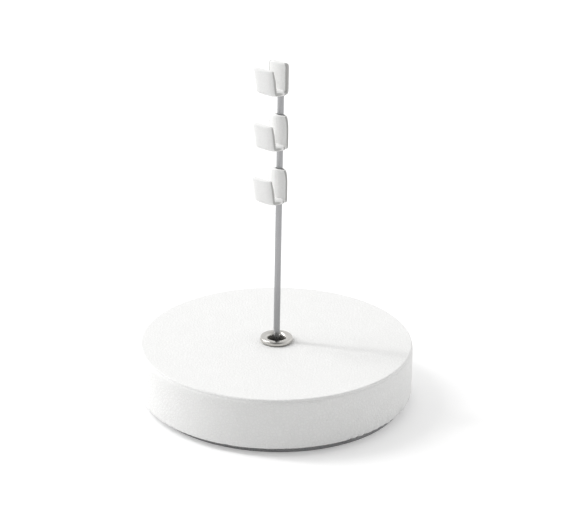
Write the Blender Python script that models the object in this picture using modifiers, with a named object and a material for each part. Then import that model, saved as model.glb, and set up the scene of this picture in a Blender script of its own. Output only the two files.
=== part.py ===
"""Jewelry stand: a round weighted base, an upright rod and three sprung ring clips.

The base is a board disc wrapped in leatherette, with a steel weight and a felt pad
underneath. A thin steel rod is bolted through its middle and leaves it through a
flanged eyelet. Three leatherette clips sit on the rod. Each is a strip bent into a U:
its back leg is a sleeve that slides and turns on the rod, and its front leg is a
springy flap, so that a ring pushed down from above is held in the slot between them.

Metres, +Z up. The origin is the middle of the underside, and the flaps face -Y.
"""

import math

import bmesh
import bpy
from mathutils import Matrix, Vector

MM = 0.001

# Base, from the floor upwards
BASE_RADIUS = 40.25 * MM
BASE_HEIGHT = 17.5 * MM
LEATHERETTE = 0.8 * MM
TOP_EDGE_RADIUS = 1.0 * MM
BOTTOM_EDGE_RADIUS = 0.8 * MM
HEM_WIDTH = 8.0 * MM
PAD_THICKNESS = 2.1 * MM
PAD_INSET = 2.15 * MM
BOARD_THICKNESS = 0.8 * MM
BALLAST_RADIUS = 28.0 * MM
BALLAST_THICKNESS = 3.9 * MM
BALLAST_EDGE = 0.3 * MM
SEAT_GAP = 0.3 * MM
GLUE_GAP = 0.2 * MM

# Rod and what holds it in the base
ROD_RADIUS = 0.95 * MM
ROD_CHAMFER = 0.2 * MM
ROD_BELOW_NUT = 0.8 * MM
RUNNING_CLEARANCE = 0.08 * MM
BUSH_RADIUS = 2.3 * MM
BUSH_FLANGE_RADIUS = 4.2 * MM
BUSH_FLANGE_THICKNESS = 0.9 * MM
BUSH_DEPTH_BELOW_TOP = 2.4 * MM
ROD_WASHER_RADIUS = 2.9 * MM
ROD_WASHER_THICKNESS = 0.3 * MM
NUT_ACROSS_FLATS = 4.0 * MM
NUT_THICKNESS = 1.6 * MM

# Eyelet in the middle of the leatherette
EYELET_HOLE_RADIUS = 2.88 * MM
EYELET_WALL = 0.3 * MM
EYELET_FLANGE_RADIUS = 4.9 * MM
EYELET_FLANGE_HEIGHT = 1.35 * MM
EYELET_SEAT_GAP = 0.1 * MM
EYELET_EDGE_RADIUS = 0.28 * MM
EYELET_CROWN_INNER_RADIUS = 0.6 * MM
EYELET_CROWN_OUTER_RADIUS = 0.9 * MM
EYELET_LIP_WIDTH = 0.7 * MM
EYELET_LIP_THICKNESS = 0.3 * MM
EYELET_WASHER_RADIUS = 5.2 * MM
EYELET_WASHER_THICKNESS = 0.45 * MM

# Clips on the rod
CLIP_NAMES = ("lower", "middle", "upper")
LOWEST_CLIP_ABOVE_BASE = 45.5 * MM
CLIP_PITCH = 16.35 * MM
CLIP_HEIGHT = 8.3 * MM
SLEEVE_WIDTH = 6.7 * MM
FLAP_WIDTH = 7.0 * MM
CLIP_EDGE_RADIUS = 0.35 * MM
SLEEVE_BELOW = 0.95 * MM
SLEEVE_ABOVE = 0.9 * MM
TOP_SLEEVE_ABOVE = 0.3 * MM
SLEEVE_BACK_RADIUS = 2.2 * MM
SLEEVE_BACK_OFFSET = 0.15 * MM
SLEEVE_FRONT = 2.1 * MM
SLEEVE_CORNER_RADIUS = 0.6 * MM
SLEEVE_EDGE_RADIUS = 0.45 * MM
SLEEVE_TOP_THICKNESS = 0.8 * MM
LINER_WALL = 0.2 * MM
LINER_RECESS = 0.5 * MM
NEST_GAP = 0.08 * MM

# Bridge under the slot, flap in front of it, spring strip inside both
BRIDGE_THICKNESS = 1.5 * MM
BRIDGE_SLOPE = math.tan(math.radians(10.5))
BRIDGE_GAP = 0.25 * MM
FLAP_THICKNESS = 1.4 * MM
FLAP_TOP_THICKNESS = 0.8 * MM
FLAP_TAPER_HEIGHT = 3.0 * MM
FLAP_BELOW_HINGE = 0.8 * MM
FLAP_ABOVE_HINGE = 7.5 * MM
FLAP_TOP_CORNER = 0.55 * MM
FLAP_BOTTOM_CORNER = 1.1 * MM
FLAP_LEAN = math.radians(9.8)
HINGE_FORWARD = 5.7 * MM
HINGE_HEIGHT = 0.85 * MM
HINGE_GAP = 0.3 * MM
STRIP_THICKNESS = 0.2 * MM
STRIP_WIDTH = 5.0 * MM
STRIP_BEND_RADIUS = 0.25 * MM
STRIP_TOP_MARGIN = 1.2 * MM

# Facets
DISC_SEGMENTS = 72
SMALL_SEGMENTS = 36
BORE_SEGMENTS = 28
ARC_STEP = math.radians(22.5)
EDGE_SEGMENTS = 2
SMOOTH_ANGLE = math.radians(40)
WELD = 0.001 * MM
CUT_MARGIN = 1.0 * MM

# Heights and radii that follow from the sizes above
HEM_BOTTOM = PAD_THICKNESS + GLUE_GAP
HEM_TOP = HEM_BOTTOM + LEATHERETTE
CORE_BOTTOM = HEM_TOP + SEAT_GAP
CORE_TOP = BASE_HEIGHT - LEATHERETTE - SEAT_GAP
CORE_RADIUS = BASE_RADIUS - LEATHERETTE - SEAT_GAP
POCKET_TOP = CORE_BOTTOM + BALLAST_THICKNESS + SEAT_GAP
POCKET_RADIUS = BALLAST_RADIUS + SEAT_GAP
BORE_RADIUS = ROD_RADIUS + RUNNING_CLEARANCE
EYELET_BARREL_RADIUS = EYELET_HOLE_RADIUS + EYELET_WALL
EYELET_WASHER_TOP = CORE_TOP
EYELET_WASHER_BOTTOM = EYELET_WASHER_TOP - EYELET_WASHER_THICKNESS
EYELET_LIP_TOP = EYELET_WASHER_BOTTOM - GLUE_GAP
EYELET_LIP_BOTTOM = EYELET_LIP_TOP - EYELET_LIP_THICKNESS
BUSH_TOP = min(BASE_HEIGHT - BUSH_DEPTH_BELOW_TOP, EYELET_LIP_BOTTOM - SEAT_GAP)
BUSH_SHOULDER = BUSH_TOP - BUSH_FLANGE_THICKNESS
ROD_WASHER_TOP = POCKET_TOP - SEAT_GAP
ROD_WASHER_BOTTOM = ROD_WASHER_TOP - ROD_WASHER_THICKNESS
NUT_TOP = ROD_WASHER_BOTTOM - GLUE_GAP
NUT_BOTTOM = NUT_TOP - NUT_THICKNESS
ROD_BOTTOM = NUT_BOTTOM - ROD_BELOW_NUT
BALLAST_HOLE_RADIUS = ROD_WASHER_RADIUS + SEAT_GAP

LINER_RADIUS = BORE_RADIUS + LINER_WALL
SLEEVE_BORE_RADIUS = LINER_RADIUS + NEST_GAP
STRIP_FORWARD = LINER_RADIUS + 2.0 * NEST_GAP + STRIP_THICKNESS / 2.0
STRIP_ROOM = STRIP_THICKNESS + 2.0 * NEST_GAP
STRIP_POCKET_WIDTH = STRIP_WIDTH + 2.0 * NEST_GAP
BRIDGE_BACK = SLEEVE_FRONT + HINGE_GAP
BRIDGE_FRONT = HINGE_FORWARD - BRIDGE_GAP
BRIDGE_FRONT_MIDDLE = HINGE_HEIGHT - 0.41 * MM
STRIP_TOP = CLIP_HEIGHT - STRIP_TOP_MARGIN
OPEN_SLEEVE_TOP = CLIP_HEIGHT + SLEEVE_ABOVE
CLOSED_SLEEVE_TOP = CLIP_HEIGHT + TOP_SLEEVE_ABOVE
BLIND_BORE_TOP = CLOSED_SLEEVE_TOP - SLEEVE_TOP_THICKNESS


def clip_bottom(index):
    """Height of a clip's underside: the clips are evenly spaced up the rod."""
    return BASE_HEIGHT + LOWEST_CLIP_ABOVE_BASE + index * CLIP_PITCH


def bridge_middle(forward):
    """Height of the bridge's middle line, which falls towards the sleeve."""
    return BRIDGE_FRONT_MIDDLE - (BRIDGE_FRONT - forward) * BRIDGE_SLOPE


ROD_TOP = clip_bottom(len(CLIP_NAMES) - 1) + BLIND_BORE_TOP - SEAT_GAP


# Scene set-up

def clear_scene():
    for old in list(bpy.data.objects):
        bpy.data.objects.remove(old, do_unlink=True)


def make_collection(name):
    group = bpy.data.collections.new(name)
    bpy.context.scene.collection.children.link(group)
    return group


def make_material(name, colour, roughness, metallic=0.0):
    """A plain surface: colour is linear red, green and blue."""
    finish = bpy.data.materials.new(name)
    finish.use_nodes = True
    shader = finish.node_tree.nodes["Principled BSDF"]
    shader.inputs["Base Color"].default_value = (*colour, 1.0)
    shader.inputs["Roughness"].default_value = roughness
    shader.inputs["Metallic"].default_value = metallic
    finish.diffuse_color = (*colour, 1.0)
    return finish


def place(name, mesh, finish, group, parent=None, location=(0.0, 0.0, 0.0)):
    """Add an object with its material, smooth where its faces meet at a low angle."""
    mesh.name = name
    if finish is not None:
        mesh.materials.append(finish)
    mesh.shade_smooth()
    mesh.set_sharp_from_angle(angle=SMOOTH_ANGLE)
    thing = bpy.data.objects.new(name, mesh)
    thing.location = location
    thing.parent = parent
    group.objects.link(thing)
    return thing


def make_empty(name, group, parent, location, tilt=0.0):
    """An axis marker that carries the pieces moving on it."""
    marker = bpy.data.objects.new(name, None)
    marker.empty_display_size = SLEEVE_WIDTH
    marker.location = location
    marker.rotation_euler.x = tilt
    marker.parent = parent
    group.objects.link(marker)
    return marker


# Outlines

def arc(centre, radius, start, sweep):
    """Points along an arc, both ends included."""
    steps = max(1, math.ceil(abs(sweep) / ARC_STEP - 1e-6))
    return [
        (centre[0] + radius * math.cos(start + sweep * i / steps),
         centre[1] + radius * math.sin(start + sweep * i / steps))
        for i in range(steps + 1)
    ]


def rounded_path(corners, closed=False):
    """Turn corners (x, y, radius) into points, each corner filleted to its radius."""
    points = []
    count = len(corners)
    for i, (x, y, radius) in enumerate(corners):
        here = Vector((x, y))
        is_end = not closed and i in (0, count - 1)
        if radius <= 0.0 or is_end:
            points.append((x, y))
            continue
        before = Vector(corners[i - 1][:2])
        after = Vector(corners[(i + 1) % count][:2])
        back = (before - here).normalized()
        ahead = (after - here).normalized()
        half = back.angle(ahead) / 2.0
        middle = here + (back + ahead).normalized() * (radius / math.sin(half))
        first = here + back * (radius / math.tan(half)) - middle
        last = here + ahead * (radius / math.tan(half)) - middle
        start = math.atan2(first.y, first.x)
        sweep = math.atan2(last.y, last.x) - start
        sweep = (sweep + math.pi) % (2.0 * math.pi) - math.pi
        points.extend(arc(middle, radius, start, sweep))
    return points


def belt_outline(circles):
    """Outline of a belt pulled round circles (x, y, radius), anticlockwise."""
    leaving = []
    count = len(circles)
    for i in range(count):
        x0, y0, r0 = circles[i]
        x1, y1, r1 = circles[(i + 1) % count]
        run = math.atan2(y1 - y0, x1 - x0)
        lean = math.asin((r0 - r1) / math.hypot(x1 - x0, y1 - y0))
        leaving.append(run - math.pi / 2.0 + lean)
    points = []
    for i, (x, y, radius) in enumerate(circles):
        start = leaving[i - 1]
        sweep = (leaving[i] - start) % (2.0 * math.pi)
        points.extend(arc((x, y), radius, start, sweep))
    return points


# Solids

def turned(name, profile, finish, group, segments, closed, **placing):
    """Spin a profile of (radius, height) points about Z; it runs down its outer side."""
    mesh = bpy.data.meshes.new(name)
    edges = [(i, i + 1) for i in range(len(profile) - 1)]
    if closed:
        edges.append((len(profile) - 1, 0))
    mesh.from_pydata([(r, 0.0, z) for r, z in profile], edges, [])
    thing = place(name, mesh, finish, group, **placing)
    screw = thing.modifiers.new("turn", "SCREW")
    screw.steps = segments
    screw.render_steps = segments
    screw.use_merge_vertices = True
    screw.merge_threshold = WELD
    screw.use_smooth_shade = True
    return thing


def extruded_mesh(name, outline, thickness):
    """A flat outline in XY with its thickness along Z, centred, as a closed mesh."""
    curve = bpy.data.curves.new(name, "CURVE")
    curve.dimensions = "2D"
    curve.fill_mode = "BOTH"
    curve.extrude = thickness / 2.0
    spline = curve.splines.new("POLY")
    spline.points.add(len(outline) - 1)
    for point, (x, y) in zip(spline.points, outline):
        point.co = (x, y, 0.0, 1.0)
    spline.use_cyclic_u = True
    holder = bpy.data.objects.new(name, curve)
    bpy.context.scene.collection.objects.link(holder)
    depsgraph = bpy.context.evaluated_depsgraph_get()
    mesh = bpy.data.meshes.new_from_object(holder.evaluated_get(depsgraph))
    bpy.data.objects.remove(holder, do_unlink=True)
    bpy.data.curves.remove(curve)
    work = bmesh.new()
    work.from_mesh(mesh)
    bmesh.ops.remove_doubles(work, verts=work.verts, dist=WELD)
    bmesh.ops.dissolve_limit(
        work, angle_limit=math.radians(1), verts=work.verts, edges=work.edges)
    bmesh.ops.recalc_face_normals(work, faces=work.faces)
    work.to_mesh(mesh)
    work.free()
    return mesh


def box_mesh(name, low, high):
    """A box between two corners."""
    work = bmesh.new()
    bmesh.ops.create_cube(work, size=1.0)
    size = [b - a for a, b in zip(low, high)]
    middle = [(a + b) / 2.0 for a, b in zip(low, high)]
    bmesh.ops.scale(work, vec=size, verts=work.verts)
    bmesh.ops.translate(work, vec=middle, verts=work.verts)
    mesh = bpy.data.meshes.new(name)
    work.to_mesh(mesh)
    work.free()
    return mesh


def sloped_box_mesh(name, width, back, front, thickness):
    """A box along the bridge's sloping middle line, between two distances from the rod."""
    mesh = box_mesh(
        name, (-width / 2.0, -front, -thickness / 2.0), (width / 2.0, -back, thickness / 2.0))
    for vertex in mesh.vertices:
        vertex.co.z += bridge_middle(-vertex.co.y)
    return mesh


def cylinder_mesh(name, radius, low, high, segments):
    """An upright cylinder round the Z axis between two heights."""
    work = bmesh.new()
    bmesh.ops.create_cone(
        work, cap_ends=True, segments=segments,
        radius1=radius, radius2=radius, depth=high - low)
    bmesh.ops.translate(work, vec=(0.0, 0.0, (low + high) / 2.0), verts=work.verts)
    mesh = bpy.data.meshes.new(name)
    work.to_mesh(mesh)
    work.free()
    return mesh


def round_edges(thing, radius):
    """Round the edges where faces meet squarely."""
    bevel = thing.modifiers.new("edges", "BEVEL")
    bevel.width = radius
    bevel.segments = EDGE_SEGMENTS
    bevel.limit_method = "ANGLE"
    bevel.angle_limit = math.radians(50)
    bevel.use_clamp_overlap = True


def cut(thing, mesh, cutters, parent=None, location=(0.0, 0.0, 0.0)):
    """Take the cutter's shape out of a piece."""
    tool = place(mesh.name, mesh, None, cutters, parent=parent, location=location)
    tool.hide_render = True
    tool.display_type = "WIRE"
    boolean = thing.modifiers.new(mesh.name, "BOOLEAN")
    boolean.operation = "DIFFERENCE"
    boolean.solver = "EXACT"
    boolean.object = tool


# Base

def build_base_cover(finish, group):
    """The leatherette: over the top, down the side and turned in underneath."""
    profile = rounded_path([
        (EYELET_BARREL_RADIUS + GLUE_GAP, BASE_HEIGHT, 0.0),
        (BASE_RADIUS, BASE_HEIGHT, TOP_EDGE_RADIUS),
        (BASE_RADIUS, HEM_BOTTOM, BOTTOM_EDGE_RADIUS),
        (BASE_RADIUS - HEM_WIDTH, HEM_BOTTOM, 0.0),
    ])
    cover = turned("base_cover", profile, finish, group, DISC_SEGMENTS, closed=False)
    wall = cover.modifiers.new("thickness", "SOLIDIFY")
    wall.thickness = LEATHERETTE
    wall.offset = -1.0
    wall.use_even_offset = True


def build_base_core(finish, group):
    """The board disc: bored for the bush, counterbored above, pocketed below."""
    recess = EYELET_WASHER_RADIUS + SEAT_GAP
    recess_floor = EYELET_LIP_BOTTOM - NEST_GAP
    flange_room = BUSH_FLANGE_RADIUS + SEAT_GAP
    shoulder = BUSH_SHOULDER - SEAT_GAP
    bore = BUSH_RADIUS + SEAT_GAP
    profile = [
        (recess, CORE_TOP),
        (CORE_RADIUS, CORE_TOP),
        (CORE_RADIUS, CORE_BOTTOM),
        (POCKET_RADIUS, CORE_BOTTOM),
        (POCKET_RADIUS, POCKET_TOP),
        (bore, POCKET_TOP),
        (bore, shoulder),
        (flange_room, shoulder),
        (flange_room, recess_floor),
        (recess, recess_floor),
    ]
    turned("base_core", profile, finish, group, DISC_SEGMENTS, closed=True)


def build_ballast(finish, group):
    """The steel weight, with a hole that leaves room for the nut."""
    bottom = CORE_BOTTOM
    top = bottom + BALLAST_THICKNESS
    profile = [
        (BALLAST_HOLE_RADIUS, top),
        (BALLAST_RADIUS - BALLAST_EDGE, top),
        (BALLAST_RADIUS, top - BALLAST_EDGE),
        (BALLAST_RADIUS, bottom + BALLAST_EDGE),
        (BALLAST_RADIUS - BALLAST_EDGE, bottom),
        (BALLAST_HOLE_RADIUS, bottom),
    ]
    turned("ballast_plate", profile, finish, group, DISC_SEGMENTS, closed=True)


def build_underside(board_finish, felt_finish, group):
    """The board that fills the hem's opening, and the felt pad over the whole underside."""
    board_radius = BASE_RADIUS - HEM_WIDTH - SEAT_GAP
    board_top = HEM_BOTTOM + BOARD_THICKNESS
    board = [(0.0, board_top), (board_radius, board_top), (board_radius, HEM_BOTTOM), (0.0, HEM_BOTTOM)]
    turned("hem_infill_board", board, board_finish, group, DISC_SEGMENTS, closed=False)
    pad_radius = BASE_RADIUS - PAD_INSET
    pad = [(0.0, PAD_THICKNESS), (pad_radius, PAD_THICKNESS), (pad_radius, 0.0), (0.0, 0.0)]
    turned("base_pad", pad, felt_finish, group, DISC_SEGMENTS, closed=False)


def build_eyelet(finish, group):
    """The flanged eyelet, its barrel rolled over under a washer below the leatherette."""
    flange_bottom = BASE_HEIGHT + EYELET_SEAT_GAP
    flange_top = flange_bottom + EYELET_FLANGE_HEIGHT
    lip_radius = EYELET_BARREL_RADIUS + EYELET_LIP_WIDTH
    profile = rounded_path([
        (EYELET_HOLE_RADIUS, flange_top, EYELET_CROWN_INNER_RADIUS),
        (EYELET_FLANGE_RADIUS, flange_top, EYELET_CROWN_OUTER_RADIUS),
        (EYELET_FLANGE_RADIUS, flange_bottom, 0.0),
        (EYELET_BARREL_RADIUS, flange_bottom, 0.0),
        (EYELET_BARREL_RADIUS, EYELET_LIP_TOP, 0.0),
        (lip_radius, EYELET_LIP_TOP, 0.0),
        (lip_radius, EYELET_LIP_BOTTOM, 0.0),
        (EYELET_HOLE_RADIUS, EYELET_LIP_BOTTOM, EYELET_EDGE_RADIUS),
    ], closed=True)
    turned("eyelet", profile, finish, group, SMALL_SEGMENTS, closed=True)
    inner = EYELET_BARREL_RADIUS + NEST_GAP
    washer = [
        (inner, EYELET_WASHER_TOP),
        (EYELET_WASHER_RADIUS, EYELET_WASHER_TOP),
        (EYELET_WASHER_RADIUS, EYELET_WASHER_BOTTOM),
        (inner, EYELET_WASHER_BOTTOM),
    ]
    turned("eyelet_washer", washer, finish, group, SMALL_SEGMENTS, closed=True)


def build_rod(steel, brass, group, cutters):
    """The rod, the flanged bush that steadies it, and its washer and nut."""
    rod = [
        (0.0, ROD_TOP),
        (ROD_RADIUS - ROD_CHAMFER, ROD_TOP),
        (ROD_RADIUS, ROD_TOP - ROD_CHAMFER),
        (ROD_RADIUS, ROD_BOTTOM + ROD_CHAMFER),
        (ROD_RADIUS - ROD_CHAMFER, ROD_BOTTOM),
        (0.0, ROD_BOTTOM),
    ]
    turned("rod", rod, steel, group, BORE_SEGMENTS, closed=False)
    bush_bottom = POCKET_TOP + SEAT_GAP
    bush = [
        (BORE_RADIUS, BUSH_TOP),
        (BUSH_FLANGE_RADIUS, BUSH_TOP),
        (BUSH_FLANGE_RADIUS, BUSH_SHOULDER),
        (BUSH_RADIUS, BUSH_SHOULDER),
        (BUSH_RADIUS, bush_bottom),
        (BORE_RADIUS, bush_bottom),
    ]
    turned("rod_bush", bush, brass, group, SMALL_SEGMENTS, closed=True)
    washer = [
        (BORE_RADIUS, ROD_WASHER_TOP),
        (ROD_WASHER_RADIUS, ROD_WASHER_TOP),
        (ROD_WASHER_RADIUS, ROD_WASHER_BOTTOM),
        (BORE_RADIUS, ROD_WASHER_BOTTOM),
    ]
    turned("rod_washer", washer, steel, group, SMALL_SEGMENTS, closed=True)
    corner_radius = NUT_ACROSS_FLATS / 2.0 / math.cos(math.pi / 6.0)
    nut_mesh = cylinder_mesh("rod_nut", corner_radius, NUT_BOTTOM, NUT_TOP, 6)
    nut = place("rod_nut", nut_mesh, steel, group)
    nut_bore = cylinder_mesh(
        "nut_bore", BORE_RADIUS, NUT_BOTTOM - CUT_MARGIN, NUT_TOP + CUT_MARGIN, BORE_SEGMENTS)
    cut(nut, nut_bore, cutters)


# Clips

def build_liner(label, is_top, finish, group, parent):
    """The thin brass tube that rides on the rod."""
    top = (BLIND_BORE_TOP if is_top else OPEN_SLEEVE_TOP) - LINER_RECESS
    bottom = LINER_RECESS - SLEEVE_BELOW
    profile = [
        (BORE_RADIUS, top),
        (LINER_RADIUS, top),
        (LINER_RADIUS, bottom),
        (BORE_RADIUS, bottom),
    ]
    turned(label + "_liner", profile, finish, group, BORE_SEGMENTS, closed=True, parent=parent)


def build_sleeve(label, is_top, finish, group, cutters, parent):
    """The back leg: round behind the rod, flat in front, closed above on the top clip."""
    top = CLOSED_SLEEVE_TOP if is_top else OPEN_SLEEVE_TOP
    inset = SLEEVE_WIDTH / 2.0 - SLEEVE_CORNER_RADIUS
    front = -(SLEEVE_FRONT - SLEEVE_CORNER_RADIUS)
    outline = belt_outline([
        (0.0, SLEEVE_BACK_OFFSET, SLEEVE_BACK_RADIUS),
        (-inset, front, SLEEVE_CORNER_RADIUS),
        (inset, front, SLEEVE_CORNER_RADIUS),
    ])
    mesh = extruded_mesh(label + "_sleeve", outline, top + SLEEVE_BELOW)
    mesh.transform(Matrix.Translation((0.0, 0.0, (top - SLEEVE_BELOW) / 2.0)))
    sleeve = place(label + "_sleeve", mesh, finish, group, parent=parent)
    round_edges(sleeve, SLEEVE_EDGE_RADIUS)
    bore_top = BLIND_BORE_TOP if is_top else top + CUT_MARGIN
    bore = cylinder_mesh(
        label + "_sleeve_bore", SLEEVE_BORE_RADIUS, -SLEEVE_BELOW - CUT_MARGIN, bore_top,
        BORE_SEGMENTS)
    cut(sleeve, bore, cutters, parent=parent)
    pocket_front = -(STRIP_FORWARD + STRIP_ROOM / 2.0)
    pocket = box_mesh(
        label + "_strip_pocket",
        (-STRIP_POCKET_WIDTH / 2.0, pocket_front,
         bridge_middle(STRIP_FORWARD) - STRIP_ROOM / 2.0),
        (STRIP_POCKET_WIDTH / 2.0, -LINER_RADIUS, STRIP_TOP + NEST_GAP))
    cut(sleeve, pocket, cutters, parent=parent)
    passage = sloped_box_mesh(
        label + "_strip_passage", STRIP_POCKET_WIDTH, STRIP_FORWARD, SLEEVE_FRONT + CUT_MARGIN,
        STRIP_ROOM)
    cut(sleeve, passage, cutters, parent=parent)


def build_bridge(label, finish, group, cutters, parent):
    """The bottom of the U, hollow where the spring strip runs through it."""
    mesh = sloped_box_mesh(
        label + "_bridge", FLAP_WIDTH, BRIDGE_BACK, BRIDGE_FRONT, BRIDGE_THICKNESS)
    bridge = place(label + "_bridge", mesh, finish, group, parent=parent)
    round_edges(bridge, CLIP_EDGE_RADIUS)
    tunnel = sloped_box_mesh(
        label + "_bridge_tunnel", STRIP_POCKET_WIDTH, BRIDGE_BACK - CUT_MARGIN,
        BRIDGE_FRONT + CUT_MARGIN, STRIP_ROOM)
    cut(bridge, tunnel, cutters, parent=parent)


def build_strip(label, finish, group, parent):
    """The spring strip in the back leg and the bridge, bent a little past a right angle."""
    path = rounded_path([
        (-STRIP_FORWARD, STRIP_TOP, 0.0),
        (-STRIP_FORWARD, bridge_middle(STRIP_FORWARD), STRIP_BEND_RADIUS),
        (-BRIDGE_FRONT, BRIDGE_FRONT_MIDDLE, 0.0),
    ])
    half = STRIP_WIDTH / 2.0
    work = bmesh.new()
    rows = [[work.verts.new((x, y, z)) for y, z in path] for x in (-half, half)]
    for i in range(len(path) - 1):
        work.faces.new((rows[0][i], rows[1][i], rows[1][i + 1], rows[0][i + 1]))
    mesh = bpy.data.meshes.new(label + "_strip")
    work.to_mesh(mesh)
    work.free()
    strip = place(label + "_strip", mesh, finish, group, parent=parent)
    wall = strip.modifiers.new("thickness", "SOLIDIFY")
    wall.thickness = STRIP_THICKNESS
    wall.offset = 0.0
    wall.use_even_offset = True


def taper_mesh(name):
    """A wedge behind the flap's upper part, which thins it towards its top edge."""
    back = -HINGE_GAP / 2.0
    slope = (FLAP_THICKNESS - FLAP_TOP_THICKNESS) / FLAP_TAPER_HEIGHT
    low = FLAP_ABOVE_HINGE - FLAP_TAPER_HEIGHT - CUT_MARGIN
    high = FLAP_ABOVE_HINGE + CUT_MARGIN
    outline = [
        (back + slope * CUT_MARGIN, low),
        (CUT_MARGIN, low),
        (CUT_MARGIN, high),
        (back - slope * (FLAP_TAPER_HEIGHT + CUT_MARGIN), high),
    ]
    mesh = extruded_mesh(name, outline, FLAP_WIDTH + 2.0 * CUT_MARGIN)
    mesh.transform(Matrix(((0, 0, 1, 0), (1, 0, 0, 0), (0, 1, 0, 0), (0, 0, 0, 1))))
    return mesh


def build_flap(label, cover_finish, strip_finish, group, cutters, parent):
    """The front leg, standing on its hinge axis, with the strip's free end inside."""
    half = FLAP_WIDTH / 2.0
    top = half - FLAP_TOP_CORNER
    bottom = half - FLAP_BOTTOM_CORNER
    outline = belt_outline([
        (bottom, FLAP_BOTTOM_CORNER - FLAP_BELOW_HINGE, FLAP_BOTTOM_CORNER),
        (top, FLAP_ABOVE_HINGE - FLAP_TOP_CORNER, FLAP_TOP_CORNER),
        (-top, FLAP_ABOVE_HINGE - FLAP_TOP_CORNER, FLAP_TOP_CORNER),
        (-bottom, FLAP_BOTTOM_CORNER - FLAP_BELOW_HINGE, FLAP_BOTTOM_CORNER),
    ])
    middle = -(HINGE_GAP / 2.0 + FLAP_THICKNESS / 2.0)
    mesh = extruded_mesh(label + "_flap", outline, FLAP_THICKNESS)
    mesh.transform(Matrix.Translation((0.0, middle, 0.0)) @ Matrix.Rotation(math.pi / 2.0, 4, "X"))
    flap = place(label + "_flap", mesh, cover_finish, group, parent=parent)
    cut(flap, taper_mesh(label + "_flap_taper"), cutters, parent=parent)
    round_edges(flap, CLIP_EDGE_RADIUS)
    strip_top = FLAP_ABOVE_HINGE - FLAP_TAPER_HEIGHT
    pocket = box_mesh(
        label + "_flap_pocket",
        (-STRIP_POCKET_WIDTH / 2.0, middle - STRIP_ROOM / 2.0, -FLAP_BELOW_HINGE - CUT_MARGIN),
        (STRIP_POCKET_WIDTH / 2.0, middle + STRIP_ROOM / 2.0, strip_top + NEST_GAP))
    cut(flap, pocket, cutters, parent=parent)
    strip_mesh = box_mesh(
        label + "_flap_strip",
        (-STRIP_WIDTH / 2.0, middle - STRIP_THICKNESS / 2.0, -FLAP_BELOW_HINGE + NEST_GAP),
        (STRIP_WIDTH / 2.0, middle + STRIP_THICKNESS / 2.0, strip_top))
    place(label + "_flap_strip", strip_mesh, strip_finish, group, parent=parent)


def build_clip(index, label, finishes, group, cutters):
    """One ring clip: it slides and turns on the rod, and its flap bends at the bridge."""
    is_top = index == len(CLIP_NAMES) - 1
    slide = make_empty(label + "_slide", group, None, (0.0, 0.0, clip_bottom(index)))
    turn = make_empty(label + "_turn", group, slide, (0.0, 0.0, 0.0))
    hinge = make_empty(
        label + "_hinge", group, turn, (0.0, -HINGE_FORWARD, HINGE_HEIGHT), tilt=FLAP_LEAN)
    build_liner(label, is_top, finishes["brass"], group, slide)
    build_sleeve(label, is_top, finishes["leatherette"], group, cutters, turn)
    build_bridge(label, finishes["leatherette"], group, cutters, turn)
    build_strip(label, finishes["spring_steel"], group, turn)
    build_flap(label, finishes["leatherette"], finishes["spring_steel"], group, cutters, hinge)


def main():
    clear_scene()
    stand = make_collection("jewelry_stand")
    cutters = make_collection("cutters")
    finishes = {
        "leatherette": make_material("white_leatherette", (0.87, 0.87, 0.86), 0.5),
        "board": make_material("base_board", (0.42, 0.30, 0.18), 0.9),
        "grey_board": make_material("grey_board", (0.30, 0.30, 0.29), 0.9),
        "felt": make_material("grey_felt", (0.16, 0.16, 0.16), 0.95),
        "nickel": make_material("nickel_plate", (0.66, 0.65, 0.63), 0.12, 1.0),
        "steel": make_material("brushed_stainless_steel", (0.55, 0.56, 0.57), 0.3, 1.0),
        "ballast": make_material("zinc_plated_steel", (0.45, 0.46, 0.48), 0.45, 1.0),
        "brass": make_material("brass", (0.72, 0.52, 0.22), 0.3, 1.0),
        "spring_steel": make_material("spring_steel", (0.30, 0.31, 0.33), 0.35, 1.0),
    }
    build_base_cover(finishes["leatherette"], stand)
    build_base_core(finishes["board"], stand)
    build_ballast(finishes["ballast"], stand)
    build_underside(finishes["grey_board"], finishes["felt"], stand)
    build_eyelet(finishes["nickel"], stand)
    build_rod(finishes["steel"], finishes["brass"], stand, cutters)
    for index, label in enumerate(CLIP_NAMES):
        build_clip(index, label, finishes, stand, cutters)


main()
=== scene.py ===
"""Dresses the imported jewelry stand: leatherette-wrapped base, eyelet, rod and folded clips.

Run as a script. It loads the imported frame, makes each shown piece, and sets the stage.
Lengths are metres unless a name says otherwise; +Z runs up the rod and -Y is the side that
the clips' flaps face.
"""
import math

import bmesh
import bpy
import numpy as np
from bpy.props import FloatProperty, FloatVectorProperty, PointerProperty
from mathutils import Matrix, Vector


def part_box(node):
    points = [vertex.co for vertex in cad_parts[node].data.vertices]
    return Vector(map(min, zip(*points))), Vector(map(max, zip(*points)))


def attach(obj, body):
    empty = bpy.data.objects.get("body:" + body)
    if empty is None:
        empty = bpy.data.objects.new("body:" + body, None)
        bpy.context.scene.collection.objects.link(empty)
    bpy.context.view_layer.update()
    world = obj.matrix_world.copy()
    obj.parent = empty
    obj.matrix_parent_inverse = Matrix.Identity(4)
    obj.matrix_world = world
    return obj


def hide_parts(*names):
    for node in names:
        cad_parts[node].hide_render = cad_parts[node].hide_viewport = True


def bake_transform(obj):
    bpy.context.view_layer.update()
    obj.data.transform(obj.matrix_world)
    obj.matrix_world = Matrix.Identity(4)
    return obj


bl_info = {
    "name": "Jewelry Stand Finisher",
    "version": (1, 0, 0),
    "blender": (4, 5, 0),
    "location": "View3D > Sidebar > Jewelry Stand",
    "description": "Covers, clips, metal parts, materials and studio stage of a jewelry stand",
    "category": "Object",
}

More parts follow.
